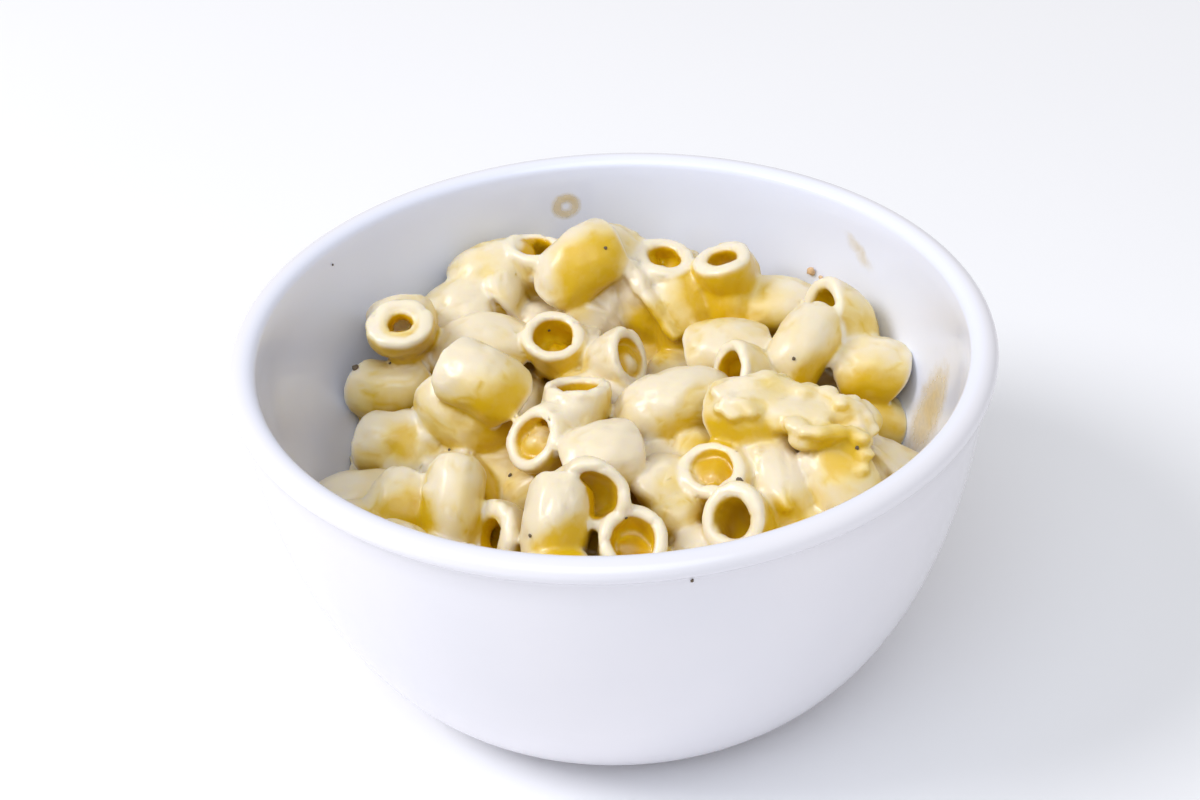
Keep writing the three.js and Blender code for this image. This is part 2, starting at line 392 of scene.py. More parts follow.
FRONT = [
    (-.041, -.014, .028, 100, 10, 0, 80),
    (-.029, -.0185, .0255, -5, -10, 40, 70),
    (-.035, -.024, .032, 60, 0, 10, 90),
    (-.024, -.031, .030, -60, -45, 180, 100),
    (-.014, -.039, .032, 25, 0, 15, 100),
    (-.002, -.034, .027, 250, -40, 170, 100),
    (.007, -.042, .030, -5, 0, -15, 100),
    (.021, -.036, .031, 140, 5, 10, 100),
    (.033, -.027, .030, 30, 0, -10, 100),
    (.013, -.031, .027, 60, -45, 175, 100),
    (-.026, -.035, .025, -35, 0, 0, 80),
    (.027, -.0175, .0265, 10, 15, 20, 90),
]
ELBOWS = BACK_ROW + LEFT_SIDE + MIDDLE + RIGHT_SIDE + FRONT
print(len(ELBOWS), "elbows")

# %% [markdown]
# The tube could be a curve with a bevel, but then it would have no bore to look into. So a flat
# ring is spun about the middle of the bend, which gives the outside, the bore and both cut ends
# in one go. A bevel rounds the cut edges, as cooking does. Then soft noise, different for each
# elbow, takes away the look of a machined part.

# %% Make one elbow
TUBE_RADIUS = 5.2 * MM
BORE_RADIUS = 3.35 * MM
BEND_RADIUS = 7 * MM
USUAL_SQUASH = 0.92
RING_STEPS, BEND_STEPS = 28, 12
RIM_ROUNDING = 0.65 * MM
SHARP_EDGE = math.radians(60)
WOBBLE, WOBBLE_SIZE, WOBBLE_STEP = 0.45 * MM, 8 * MM, 7


def placing(row):
    x, y, z, heading, tilt, roll = row[:6]
    turn = (Matrix.Rotation(math.radians(heading), 4, "Z")
            @ Matrix.Rotation(math.radians(-tilt), 4, "Y")
            @ Matrix.Rotation(math.radians(roll), 4, "X"))
    return Matrix.Translation((x, y, z)) @ turn


def bore_radius(row):
    return row[8] * BORE_RADIUS if len(row) > 8 else BORE_RADIUS


def elbow(row, number, hollow=True):
    bend = math.radians(row[6])
    squash = row[7] if len(row) > 7 else USUAL_SQUASH
    bm = bmesh.new()
    upright = Matrix.Rotation(math.pi / 2, 4, "Y") @ Matrix.Diagonal((squash, 1 / squash, 1, 1))
    if hollow:
        for radius in (TUBE_RADIUS, bore_radius(row)):
            bmesh.ops.create_circle(bm, segments=RING_STEPS, radius=radius, matrix=upright)
        bmesh.ops.bridge_loops(bm, edges=bm.edges[:])
    else:
        bmesh.ops.create_circle(bm, cap_ends=True, segments=RING_STEPS, radius=TUBE_RADIUS,
                                matrix=upright)
    centre = (0, 0, -BEND_RADIUS)
    bmesh.ops.rotate(bm, verts=bm.verts, cent=centre, matrix=Matrix.Rotation(-bend / 2, 3, "Y"))
    bmesh.ops.spin(bm, geom=bm.verts[:] + bm.edges[:] + bm.faces[:], cent=centre, axis=(0, 1, 0),
                   angle=bend, steps=BEND_STEPS)
    bmesh.ops.recalc_face_normals(bm, faces=bm.faces)
    rims = [edge for edge in bm.edges if edge.calc_face_angle(0) > SHARP_EDGE]
    bmesh.ops.bevel(bm, geom=rims, offset=RIM_ROUNDING, segments=2, profile=0.5,
                    affect="EDGES", material=-1)
    other_place = Vector((0, 0, WOBBLE_STEP * number))
    for vert in bm.verts:
        vert.co += WOBBLE * noise.noise_vector(vert.co / WOBBLE_SIZE + other_place)
    bm.transform(placing(row))
    return bm


def added_up(parts):
    """One bmesh out of many."""
    total = bmesh.new()
    carrier = bpy.data.meshes.new("carrier")
    for part in parts:
        part.to_mesh(carrier)
        part.free()
        total.from_mesh(carrier)
    bpy.data.meshes.remove(carrier)
    return total


one = elbow(ELBOWS[0], 0)
print("one elbow:", len(one.faces), "faces, closed:", all(edge.is_manifold for edge in one.edges))
one.free()

# %% [markdown]
# ## Core
#
# Under the elbows that show lies the rest of the pasta, soaked in sauce. None of it can be told
# apart, so it is one core that fits the bowl. It is turned like the bowl, and then the points
# of its top move up or down to follow the elbows on it: each elbow draws the top towards
# itself, the more the nearer it lies.

# %% Core
GAP = 0.35 * MM
CORE_HEIGHT = 27 * MM
CORE_BELOW_ELBOWS = 7 * MM
CORE_REACH = 6 * MM
CORE_BASE_WEIGHT = 0.1
CORE_FOOT = FLOOR_HEIGHT + GAP
CORE_EDGE, CORE_INWARDS = 0.88, 0.96
CORE_TURN, CORE_RINGS, CORE_LEVELS = 96, 26, 12


def core_top(x, y):
    weights, total = CORE_BASE_WEIGHT, CORE_BASE_WEIGHT * CORE_HEIGHT
    for row in ELBOWS:
        weight = math.exp(-((x - row[0]) ** 2 + (y - row[1]) ** 2) / (2 * CORE_REACH ** 2))
        weights += weight
        total += weight * (row[2] - CORE_BELOW_ELBOWS)
    return total / weights


def room_radius(height):
    return inner_radius(height) - GAP


def core():
    """A turned body with the bowl's inner form, whose top is then set to the elbows' heights."""
    top = heap_top
    levels = [CORE_FOOT + (top - CORE_FOOT) * i / CORE_LEVELS for i in range(CORE_LEVELS + 1)]
    wall = [(room_radius(level), level) for level in levels]
    rim = wall[-1][0]
    lid = [(rim * (1 - i / CORE_RINGS), top) for i in range(1, CORE_RINGS + 1)]
    bm = turned([(0, CORE_FOOT)] + wall + lid, CORE_TURN)
    for vert in bm.verts:
        across = Vector((vert.co.x, vert.co.y, 0))
        edge = across.normalized() * rim * CORE_EDGE
        if vert.co.z < top - TINY:
            share = (vert.co.z - CORE_FOOT) / (top - CORE_FOOT)
            vert.co.z = CORE_FOOT + share * (core_top(edge.x, edge.y) - CORE_FOOT)
            if across.length > TINY:
                vert.co.xy = across.normalized().xy * room_radius(vert.co.z)
        else:
            share = across.length / rim
            reach = room_radius(core_top(edge.x, edge.y))
            if share > TINY:
                vert.co.xy = across.normalized().xy * reach * share
            vert.co.z = core_top(vert.co.x * CORE_INWARDS, vert.co.y * CORE_INWARDS)
    return bm


print("core top in the middle", round(core_top(0, 0) / MM, 1), "mm")

# %% [markdown]
# ## Melted cheese and thick sauce
#
# Cheese that has melted and set again lies over a few elbows as a slab with a lumpy crust. Sauce
# stands in some of the bores as a plug, pale or dark with the depth, and runs down between
# elbows in uneven beads. All of these are soft lumps, so they are round balls, squashed and
# pushed about by noise, that overlap; the skin that is drawn over them later joins them. A
# row gives the middle of a lump and its half sizes, or one size for a bit of crust, or the two
# ends of a bead and its size.

# %% Where cheese and thick sauce lie
CHEESE_LUMPS = [
    (.0200, .0020, .0405, .0040, .0030, .0022),
    (.0250, .0010, .0425, .0035, .0030, .0022),
    (.0295, -.0015, .0420, .0035, .0030, .0020),
    (.0345, -.0040, .0410, .0040, .0030, .0022),
    (.0380, -.0035, .0390, .0030, .0030, .0022),
    (.0280, -.0050, .0415, .0060, .0040, .0022),
    (.0300, -.0095, .0410, .0040, .0025, .0018),
    (.0355, -.0095, .0395, .0035, .0025, .0018),
    (.0235, -.0040, .0400, .0035, .0030, .0020),
]
CHEESE_CRUST = [
    (.0165, -.0015, .0440, .0012), (.0185, -.0010, .0450, .0010), (.0210, -.0010, .0450, .0014),
    (.0235, -.0005, .0450, .0015), (.0255, -.0010, .0445, .0012), (.0275, -.0015, .0440, .0011),
    (.0295, -.0025, .0440, .0012), (.0325, -.0025, .0435, .0013), (.0345, -.0050, .0435, .0012),
    (.0360, -.0050, .0425, .0013), (.0375, -.0060, .0410, .0013), (.0385, -.0070, .0395, .0012),
    (.0270, -.0090, .0425, .0011), (.0285, -.0110, .0425, .0010), (.0305, -.0115, .0425, .0012),
    (.0330, -.0105, .0420, .0013), (.0350, -.0100, .0415, .0011), (.0365, -.0110, .0410, .0012),
    (.0175, -.0035, .0440, .0011), (.0195, -.0045, .0440, .0013), (.0180, -.0060, .0425, .0010),
    (.0205, -.0060, .0430, .0012), (.0165, -.0045, .0430, .0010),
    (.0370, -.0120, .0385, .0012), (.0360, -.0135, .0370, .0011),
]
PALE_PLUGS = [
    (-.0107, -.0003, .0344, .0036, .0036, .0028),
    (-.0120, .0350, .0350, .0045, .0040, .0035),
    (-.0305, .0255, .0345, .0035, .0035, .0035),
    (-.0125, .0415, .0375, .0040, .0040, .0035),
    (.0070, -.0085, .0325, .0052, .0055, .0035),
    (.0085, -.0135, .0305, .0045, .0045, .0035),
    (.0110, -.0195, .0275, .0045, .0045, .0035),
]
DEEP_PLUGS = [
    (.0130, .0430, .0400, .0035, .0035, .0030),
    (-.0340, .0235, .0385, .0030, .0030, .0030),
    (.0015, -.0195, .0280, .0035, .0035, .0030),
    (-.0090, .0250, .0335, .0035, .0035, .0030),
    (.0005, .0190, .0365, .0035, .0035, .0030),
    (-.0190, .0370, .0380, .0033, .0033, .0033),
    (.0130, -.0025, .0338, .0045, .0035, .0025),
    (.0151, -.0093, .0334, .0038, .0038, .0030),
]
RIDGES = [
    (.0040, .0355, .0450, .0070, .0310, .0410, .0013),
    (.0070, .0310, .0410, .0110, .0270, .0360, .0012),
    (.0215, -.0095, .0380, .0250, -.0170, .0335, .0010),
    (-.0290, -.0105, .0350, -.0280, -.0145, .0310, .0009),
    (.0395, -.0040, .0335, .0430, -.0075, .0310, .0009),
]
print(len(CHEESE_LUMPS + CHEESE_CRUST), "bits of cheese,", len(PALE_PLUGS + DEEP_PLUGS),
      "plugs of sauce,", len(RIDGES), "beads")

# %% [markdown]
# A lump is a ball under two sizes of noise, the finer one half as strong. A bead is a row of
# lumps that overlap by half, and each one's size and place wander a little.

# %% Make lumps and beads
COARSE, FINE = 5 * MM, 1.8 * MM
LUMP_JITTER, CRUST_JITTER = 0.8 * MM, 0.3 * MM
CRUST_HALF_SIZES = (1.5, 1.2, 0.8)
BEAD_OVERLAP, BEAD_FLATNESS = 0.5, 0.8
BEAD_GROWTH, BEAD_GROWTH_SIZE = 0.35, 2.5 * MM
BEAD_WANDER, BEAD_WANDER_SIZE = 0.5, 3 * MM


def lump(x, y, z, *half_sizes, jitter=LUMP_JITTER):
    bm = bmesh.new()
    placed = Matrix.Translation((x, y, z)) @ Matrix.Diagonal((*half_sizes, 1))
    bmesh.ops.create_icosphere(bm, subdivisions=3, radius=1, matrix=placed)
    for vert in bm.verts:
        vert.co += jitter * (noise.noise_vector(vert.co / COARSE)
                             + 0.5 * noise.noise_vector(vert.co / FINE))
    return bm


def ridge(x0, y0, z0, x1, y1, z1, size):
    """A bead of sauce, uneven along its length: lumps that overlap."""
    start, end = Vector((x0, y0, z0)), Vector((x1, y1, z1))
    count = math.ceil((end - start).length / (BEAD_OVERLAP * size))
    chain = []
    for i in range(count + 1):
        place = start.lerp(end, i / count)
        grown = size * (1 + BEAD_GROWTH * noise.noise(place / BEAD_GROWTH_SIZE))
        aside = BEAD_WANDER * size * noise.noise_vector(place / BEAD_WANDER_SIZE)
        chain.append(lump(*(place + aside), grown, grown, BEAD_FLATNESS * grown, jitter=0))
    return chain


lumps = [lump(*row) for row in CHEESE_LUMPS + PALE_PLUGS + DEEP_PLUGS]
lumps += [lump(x, y, z, *(share * size for share in CRUST_HALF_SIZES), jitter=CRUST_JITTER)
          for x, y, z, size in CHEESE_CRUST]
lumps += [one_lump for row in RIDGES for one_lump in ridge(*row)]
print(len(lumps), "lumps")

# %% [markdown]
# ## Under layer
#
# Between the elbows that show one sees others below them, in shade. They are spread on a
# staggered grid, each moved and turned at random from a fixed seed, so that they come out the
# same every time. Their bores don't show, so they are solid.

# %% Under layer
UNDER_SPACING = 13 * MM
UNDER_DEPTH = 9.5 * MM
UNDER_SPREAD = 2 * MM
UNDER_CLEARANCE = 9 * MM
UNDER_BEND = 100
ROW_SHARE = 0.87
SEED = 4


def under_layer():
    """Elbows at random below the ones that show, so that every gap ends on pasta."""
    rows = []
    chance = random.Random(SEED)
    count = int(2 * WALL_OUTER_RADIUS / UNDER_SPACING)
    for i in range(-count, count + 1):
        for j in range(-count, count + 1):
            x = (i + 0.5 * (j % 2)) * UNDER_SPACING + chance.uniform(-1, 1) * UNDER_SPREAD
            y = j * UNDER_SPACING * ROW_SHARE + chance.uniform(-1, 1) * UNDER_SPREAD
            angles = [chance.uniform(-180, 180), chance.uniform(-35, 35), chance.uniform(-90, 90)]
            z = core_top(x, y) - UNDER_DEPTH + CORE_BELOW_ELBOWS
            z += chance.uniform(-1, 1) * UNDER_SPREAD
            if math.hypot(x, y) < room_radius(z) - UNDER_CLEARANCE:
                rows.append((x, y, z, *angles, UNDER_BEND))
    return rows


under = under_layer()
print(len(under), "elbows under the ones that show")

# %% [markdown]
# ## Sauce
#
# The sauce creeps into every corner between the elbows. Sculpting that by hand is slow, and
# closing does it: remesh everything into one skin, swell it until narrow gaps flow together,
# remesh again and shrink it back. What flowed together stays filled. Two helpers come first:
# one runs a stack of modifiers and gives the result back as a bmesh, the other drops the
# small shells that remeshing seals inside.


# %% Helpers for a skin
def modified(bm, *modifiers):
    """The mesh after a stack of modifiers, as a new bmesh."""
    mesh = bpy.data.meshes.new("work")
    bm.to_mesh(mesh)
    bm.free()
    work = bpy.data.objects.new("work", mesh)
    bpy.context.scene.collection.objects.link(work)
    for kind, settings in modifiers:
        modifier = work.modifiers.new(kind, kind)
        for key, value in settings.items():
            setattr(modifier, key, value)
    shaped = work.evaluated_get(bpy.context.evaluated_depsgraph_get()).to_mesh()
    result = bmesh.new()
    result.from_mesh(shaped)
    bpy.data.objects.remove(work)
    bpy.data.meshes.remove(mesh)
    return result


def largest_island(bm):
    """Keeps the biggest connected shell, without loose scraps and sealed hollows."""
    seen, islands = set(), []
    for start in bm.verts:
        if start in seen:
            continue
        seen.add(start)
        island, front = [start], [start]
        while front:
            vert = front.pop()
            for edge in vert.link_edges:
                other = edge.other_vert(vert)
                if other not in seen:
                    seen.add(other)
                    island.append(other)
                    front.append(other)
        islands.append(island)
    kept = set(max(islands, key=len))
    bmesh.ops.delete(bm, geom=[vert for vert in bm.verts if vert not in kept], context="VERTS")
    return bm


print("helpers ready")

# %% [markdown]
# The skin is cut level below the deepest place that shows, where the soaked core goes on, and
# thinned to a share of its triangles, because flat places need few. A film of sauce stays on
# everything: the skin shrinks back by a little less than it swelled.

# %% Draw the skin
VOXEL = 0.4 * MM
FLOW = 0.22 * MM
FILM = 0.05 * MM
SAUCE_FOOT = 17 * MM
KEPT_SHARE = 0.23

remesh = ("REMESH", {"mode": "VOXEL", "voxel_size": VOXEL})
pasta_parts = [core()] + [elbow(row, i) for i, row in enumerate(ELBOWS)]
pasta_parts += [elbow(row, i, hollow=False) for i, row in enumerate(under)]
skin = modified(added_up(pasta_parts + lumps), remesh,
                ("DISPLACE", {"strength": FLOW, "mid_level": 0}), remesh,
                ("DISPLACE", {"strength": FILM - FLOW, "mid_level": 0}),
                ("SMOOTH", {"factor": 0.5, "iterations": 3}),
                ("DECIMATE", {"ratio": KEPT_SHARE}))
skin = largest_island(skin)
bmesh.ops.bisect_plane(skin, geom=skin.verts[:] + skin.edges[:] + skin.faces[:],
                       plane_co=(0, 0, SAUCE_FOOT), plane_no=(0, 0, 1), clear_inner=True)
bmesh.ops.holes_fill(skin, edges=[edge for edge in skin.edges if edge.is_boundary], sides=0)
bmesh.ops.recalc_face_normals(skin, faces=skin.faces)
skin.normal_update()
print("skin:", len(skin.verts), "points")

# %% [markdown]
# ## Where the skin lies on the elbows
#
# A bore is a deep yellow and a cut rim a pale cream, so the skin has to know which of its
# points lie there. Each point near an elbow is taken into that elbow's own frame. There its
# distance from the tube's middle line and its place along the bend say how much it is bore or
# rim, with soft borders.

# %% Where the skin lies on the elbows
NEAR_ELBOW = 16 * MM
BORE_BORDER, END_BORDER = 0.9 * MM, 0.8 * MM
RIM_MIDDLE, RIM_HALF_WIDTH, RIM_DEPTH = 4.4 * MM, 1.6 * MM, 1.2 * MM


def local_places(points, row):
    """For points on one elbow: angle along the bend past its ends, and distance from its line."""
    local = np.c_[points, np.ones(len(points))] @ np.array(placing(row).inverted()).T
    x, y, z = local[:, 0], local[:, 1], local[:, 2] + BEND_RADIUS
    angle = np.arctan2(x, z)
    out = np.hypot(x, z) - BEND_RADIUS
    return np.abs(angle) - math.radians(row[6]) / 2, np.hypot(out, y)


def marks(bm):
    """In a bore, on a cut rim: two values from 0 to 1 for each vertex."""
    points = np.array([vert.co for vert in bm.verts])
    in_bore, on_rim = np.zeros(len(points)), np.zeros(len(points))
    for row in ELBOWS:
        near = np.flatnonzero(np.linalg.norm(points - row[:3], axis=1) < NEAR_ELBOW)
        past, away = local_places(points[near], row)
        inside = np.clip(1 - (away - bore_radius(row)) / BORE_BORDER, 0, 1)
        along = np.clip(-past * BEND_RADIUS / END_BORDER, 0, 1)
        in_bore[near] = np.maximum(in_bore[near], inside * along)
        rim = np.clip(1 - np.abs(past * BEND_RADIUS) / RIM_DEPTH, 0, 1)
        rim *= np.clip(1 - np.abs(away - RIM_MIDDLE) / RIM_HALF_WIDTH, 0, 1)
        on_rim[near] = np.maximum(on_rim[near], rim)
    return in_bore, on_rim


in_bore, on_rim = marks(skin)
print("in a bore", int((in_bore > 0.5).sum()), "points, on a rim", int((on_rim > 0.5).sum()))

# %% [markdown]
# ## Where the sauce is thick
#
# Sauce lies thick and cream-coloured on what faces up, and the yellow pasta shows through where
# it ran off. Facing up leans towards the lamp on the left, so the lit side is painted paler:
# partly real sauce on top, partly painted light. Noise of two sizes makes it wander. Places where
# it is
# thicker or thinner than that are spots: a middle, a reach and an amount; a few of the thin ones
# are painted shade. Plugs of sauce in a bore aren't as yellow as the bore is, so these places are
# taken out of it, and so is one bore whose dark inside is painted shade.

# %% Where the sauce is thick
# Leans towards the lamp: the sauce is painted paler on the lit side, a painted light.
UP_AND_TOWARD_LAMP = Vector((-0.25, -0.15, 0.95)).normalized()
THICK_SPOTS = [
    (.0035, -.008, .0385, .004, .5), (.0075, -.0065, .0325, .004, .5),
    (.011, -.0085, .029, .005, .6), (-.0015, .029, .037, .004, .5),
    (-.0115, .0325, .0415, .003, .4), (.0075, .0065, .0425, .004, .5),
    (-.0085, .003, .041, .004, .5), (.025, -.0145, .0345, .004, .3),
    (.0055, .0335, .0425, .003, .6),
    (.0035, .035, .046, .003, .6), (.0005, .0325, .0385, .003, .5),
    (-.0105, -.0195, .0405, .004, .6), (-.0135, -.0215, .037, .0035, .5),
    (-.0105, .0335, .0475, .003, .4), (.0165, -.0015, .0430, .003, .5),
]
# Bare pasta spots. Four of them are painted shade where the light is weaker: at the back left, at
# the far left, behind the middle and in the pool left of the middle.
BARE_AND_SHADED_SPOTS = [
    (-.0045, .031, .045, .0035, 1), (-.0075, .0335, .048, .003, .2),
    (.0005, .034, .0485, .004, .7), (.019, .030, .041, .005, .8),
    (.041, .0115, .032, .004, .9), (.005, .0305, .0385, .0025, .9),
    (-.033, .0165, .044, .003, .7), (-.016, .0045, .0405, .004, .6),
    (-.0135, -.0055, .035, .003, .6), (-.0085, .019, .036, .004, .5),
    (-.009, -.0245, .035, .003, .7), (.0145, .0000, .0435, .003, .9),
    (-.034, -.0130, .0305, .003, 1.2), (-.0305, -.0125, .031, .0025, 1.1),
    (.0335, -.0125, .039, .0025, 1.4), (.0145, -.007, .0385, .0025, 1.2),
    (.0085, .028, .035, .003, .8), (-.0185, -.0005, .0295, .006, .45),
    (.013, -.004, .036, .003, .7), (.0115, .030, .0415, .003, .3),
    (.007, -.0085, .036, .005, .4), (.0085, -.0135, .034, .005, .35),
    (.0245, -.0045, .044, .005, .12), (.0315, -.0065, .0435, .005, .18),
    (.0318, .0105, .037, .0025, .9), (-.009, -.0255, .033, .0025, .5),
    (.0245, -.0185, .031, .003, 1.3), (-.0215, .0415, .045, .005, .3),
    (-.0365, .0215, .036, .005, .25), (-.034, .008, .032, .0015, .9),
    (-.0335, .006, .0305, .0015, .9),
]
# A bore whose golden colour is taken out, so that the painted shade shows dark brown in it.
BORES_LEFT_TO_PAINTED_SHADE = [(.0172, -.0195, .032, .003, 1.2)]
PLUG_REACH, PLUG_AMOUNT = 0.7, 1.2
NOISE_STEP = 31


def smooth_steps(values, low, high):
    share = np.clip((values - low) / (high - low), 0, 1)
    return share * share * (3 - 2 * share)


def noise_at(points, size, seed=0):
    shift = Vector((0, 0, NOISE_STEP * seed))
    return np.array([noise.noise(Vector(point) / size + shift) for point in points])


def spotted(points, spots):
    total = np.zeros(len(points))
    for x, y, z, reach, amount in spots:
        away = np.linalg.norm(points - (x, y, z), axis=1)
        total += amount * np.exp(-away ** 2 / (2 * reach ** 2))
    return total


points = np.array([vert.co for vert in skin.verts])
plugged = [(*row[:3], PLUG_REACH * row[3], PLUG_AMOUNT) for row in PALE_PLUGS]
in_bore *= 1 - np.clip(spotted(points, plugged + BORES_LEFT_TO_PAINTED_SHADE), 0, 1)
print(len(THICK_SPOTS), "thick spots,", len(BARE_AND_SHADED_SPOTS), "bare ones")

# %% [markdown]
# The same value then lifts the skin: a layer where the sauce is thick, fine ripples everywhere
# and thin creases, where a cooling skin of cheese has wrinkled. That is real relief in the
# mesh, which catches the light as no colour can.

# %% Lay the sauce on
COAT_BASE, COAT_UP_AND_LIT, COAT_WANDER, COAT_MOTTLE = 0.22, 0.7, 0.3, 0.15
COAT_NONE, COAT_FULL = -0.1, 1.0
LAYER, RIPPLE, CREASE = 0.3 * MM, 0.25 * MM, 0.4 * MM
WANDER_SIZE, MOTTLE_SIZE, RIPPLE_SIZE, CREASE_SIZE = 6 * MM, 2.5 * MM, 2.2 * MM, 5 * MM
CREASE_WIDTH, CREASE_THINS = 0.1, 0.25

normals = np.array([vert.normal for vert in skin.verts])
coat = COAT_BASE + COAT_UP_AND_LIT * normals @ UP_AND_TOWARD_LAMP
coat += COAT_WANDER * noise_at(points, WANDER_SIZE)
coat += COAT_MOTTLE * noise_at(points, MOTTLE_SIZE, 3)
coat += spotted(points, THICK_SPOTS) - spotted(points, BARE_AND_SHADED_SPOTS)
crease = 1 - np.clip(np.abs(noise_at(points, CREASE_SIZE, 1)) / CREASE_WIDTH, 0, 1)
coat = smooth_steps(coat - CREASE_THINS * crease, COAT_NONE, COAT_FULL)
height = LAYER * coat + RIPPLE * noise_at(points, RIPPLE_SIZE, 2) - CREASE * crease * coat
for vert, normal, lift in zip(skin.verts, normals, height):
    vert.co += Vector(normal) * lift
skin.normal_update()
print("sauce thick on", round(float(coat.mean()), 2), "of the skin")

# %% [markdown]
# ## How open each place is
#
# Deep between the elbows the food is darkened to a dark yellow as painted shade. How deep a
# place lies is measured with rays: from every point of the skin a few go up and out, and the
# share of them that doesn't hit anything near says how open it is.

# %% How open each place is
RAY_LENGTH, RAY_START = 9 * MM, 0.4 * MM
RAY_RINGS = [(80, 1), (55, 5), (30, 6)]
GRAZING = -0.2


def ray_at(height, turn):
    height = math.radians(height)
    return Vector((math.cos(height) * math.cos(turn), math.cos(height) * math.sin(turn),
                   math.sin(height)))


def openness(bm):
    """The share of rays from a place that get away upwards."""
    tree = BVHTree.FromBMesh(bm)
    rays = [ray_at(height, math.tau * i / count) for height, count in RAY_RINGS
            for i in range(count)]
    shares = []
    for vert in bm.verts:
        start = vert.co + vert.normal * RAY_START
        free = sum(1 for ray in rays if ray.dot(vert.normal) > GRAZING
                   and tree.ray_cast(start, ray, RAY_LENGTH)[0] is None)
        shares.append(free / len(rays))
    return np.array(shares)


layers = {"bore": in_bore, "rim": on_rim, "coat": coat, "open": openness(skin)}
print("open on average", round(float(layers["open"].mean()), 2))
for name, values in layers.items():
    layer = skin.verts.layers.float.new(name)
    for vert, value in zip(skin.verts, values):
        vert[layer] = value

# %% [markdown]
# ## Colour of the food
#
# Cooked pasta is wet and lets some light through, so it has a soft coat and some scattering
# below the surface. Its colour follows the values that the skin carries: from golden pasta to
# cream sauce by the coat, which is partly painted light, paler on the side towards the lamp; a
# painted shade of deep yellow where little light comes; cream on the cut rims; and golden in the
# bores, painted lighter where they lie deep. Colours are given as they look on a screen.

# %% Colour of the food
PASTA, THIN_SAUCE, THICK_SAUCE = colour(220, 181, 14), colour(231, 207, 134), colour(234, 221, 193)
# Painted shade: the dark yellow of places that little light reaches.
PAINTED_SHADE_SAUCE, CUT_RIM = colour(188, 145, 8), colour(238, 227, 202)
# Painted light: a bore is painted lighter where it lies deep, against the shade there.
DEEP_BORE_PAINTED_LIGHTER, OPEN_BORE = colour(242, 207, 20), colour(212, 168, 2)
THIN_AT, THICK_AT = 0.4, 0.95
FRECKLES = 0.3
GRAIN = 0.12 * MM

food = Finish("cheesy_macaroni", Roughness=0.35, IOR=1.45, Coat_Weight=0.4, Coat_Roughness=0.24,
              Subsurface_Weight=0.6, Subsurface_Radius=(1.4, 1.2, 0.4),
              Subsurface_Scale=0.6 * MM)
# The coat, partly painted light from the lamp's side, with noise freckles.
thickness_with_painted_light = food.attribute("coat") + FRECKLES * (food.noise(500, detail=3) - 0.5)
open_share = food.attribute("open")
coated_with_painted_light = food.node("ValToRGB", {"stops": [
    (0, PASTA), (THIN_AT, THIN_SAUCE), (THICK_AT, THICK_SAUCE)]}, thickness_with_painted_light)
# Painted shade: dark yellow where the rays find little open space.
with_painted_shade = food.mix(food.steps(open_share, -0.05, 0.6), PAINTED_SHADE_SAUCE, coated_with_painted_light)
rimmed = food.mix(food.steps(food.attribute("rim"), 0.1, 0.6), with_painted_shade, CUT_RIM)
bore_tint = food.mix(food.steps(open_share, 0.05, 0.5), DEEP_BORE_PAINTED_LIGHTER, OPEN_BORE)
bored = food.mix(food.steps(food.attribute("bore"), 0.2, 0.8), rimmed, bore_tint)
food.feed(Base_Color=bored, Normal=food.bump(food.noise(420, detail=3), GRAIN, 0.5))
print("food has", len(food.tree.nodes), "nodes")

# %% [markdown]
# ## The food as pieces
#
# The skin becomes a piece, and what lies below its level cut is a piece of its own: the same
# core, cut a little higher, so that the two overlap and no gap shows. A copy of the skin's
# faces is kept in a search tree, to lay the pepper on.

# %% The food as pieces
CORE_OVERLAP = 1 * MM

skin_tree = BVHTree.FromBMesh(skin)
piece("cheesy_macaroni", skin, food.data, "macaroni_heap")
bottom = core()
bmesh.ops.bisect_plane(bottom, geom=bottom.verts[:] + bottom.edges[:] + bottom.faces[:],
                       plane_co=(0, 0, SAUCE_FOOT + CORE_OVERLAP), plane_no=(0, 0, 1),
                       clear_outer=True)
bmesh.ops.holes_fill(bottom, edges=[edge for edge in bottom.edges if edge.is_boundary], sides=0)
piece("soaked_core", bottom, food.data, "macaroni_heap")

# %% [markdown]
# ## Pepper and crumbs
#
# Ground pepper is small, dark and uneven. Each speck is a small ball that noise makes lumpy,
# pressed flat on to the nearest sauce. Crumbs on the wall of the bowl are the same, only
# larger and the colour of crust. A row gives the middle and the size.

# %% Pepper and crumbs
PEPPER = [
    (-.042, .021, .037, .0011), (-.026, .007, .0295, .0005), (-.0135, -.023, .035, .0006),
    (-.010, .027, .0385, .0005), (0, .0345, .0495, .0006), (.001, -.021, .0355, .0005),
    (.008, -.013, .026, .0006), (.018, -.0145, .0365, .0011), (.029, .012, .0405, .0006),
    (.036, -.012, .040, .0006), (-.036, .0215, .037, .0005), (-.0175, 0, .030, .0007),
]
WALL_CRUMBS = [(.035, .038, .041, .0015), (.0365, .0365, .0405, .0009)]
WALL_SPECKS = [(.0085, -.0555, .052, .0005), (-.0445, .0285, .0525, .0004)]
SINK, FLATNESS = 0.2, 0.6
LUMPINESS, LUMPINESS_SIZE, SPECK_STEP = 0.5, 0.4, 3


def speck(place, normal, size, number):
    bm = bmesh.new()
    bmesh.ops.create_icosphere(bm, subdivisions=2, radius=size / 2)
    other_place = Vector((SPECK_STEP * number, 0, 0))
    for vert in bm.verts:
        vert.co *= 1 + LUMPINESS * noise.noise(vert.co / (LUMPINESS_SIZE * size) + other_place)
        vert.co.z *= FLATNESS
    turn = normal.to_track_quat("Z", "Y").to_matrix().to_4x4()
    bm.transform(Matrix.Translation(place + normal * size * SINK) @ turn)
    return bm


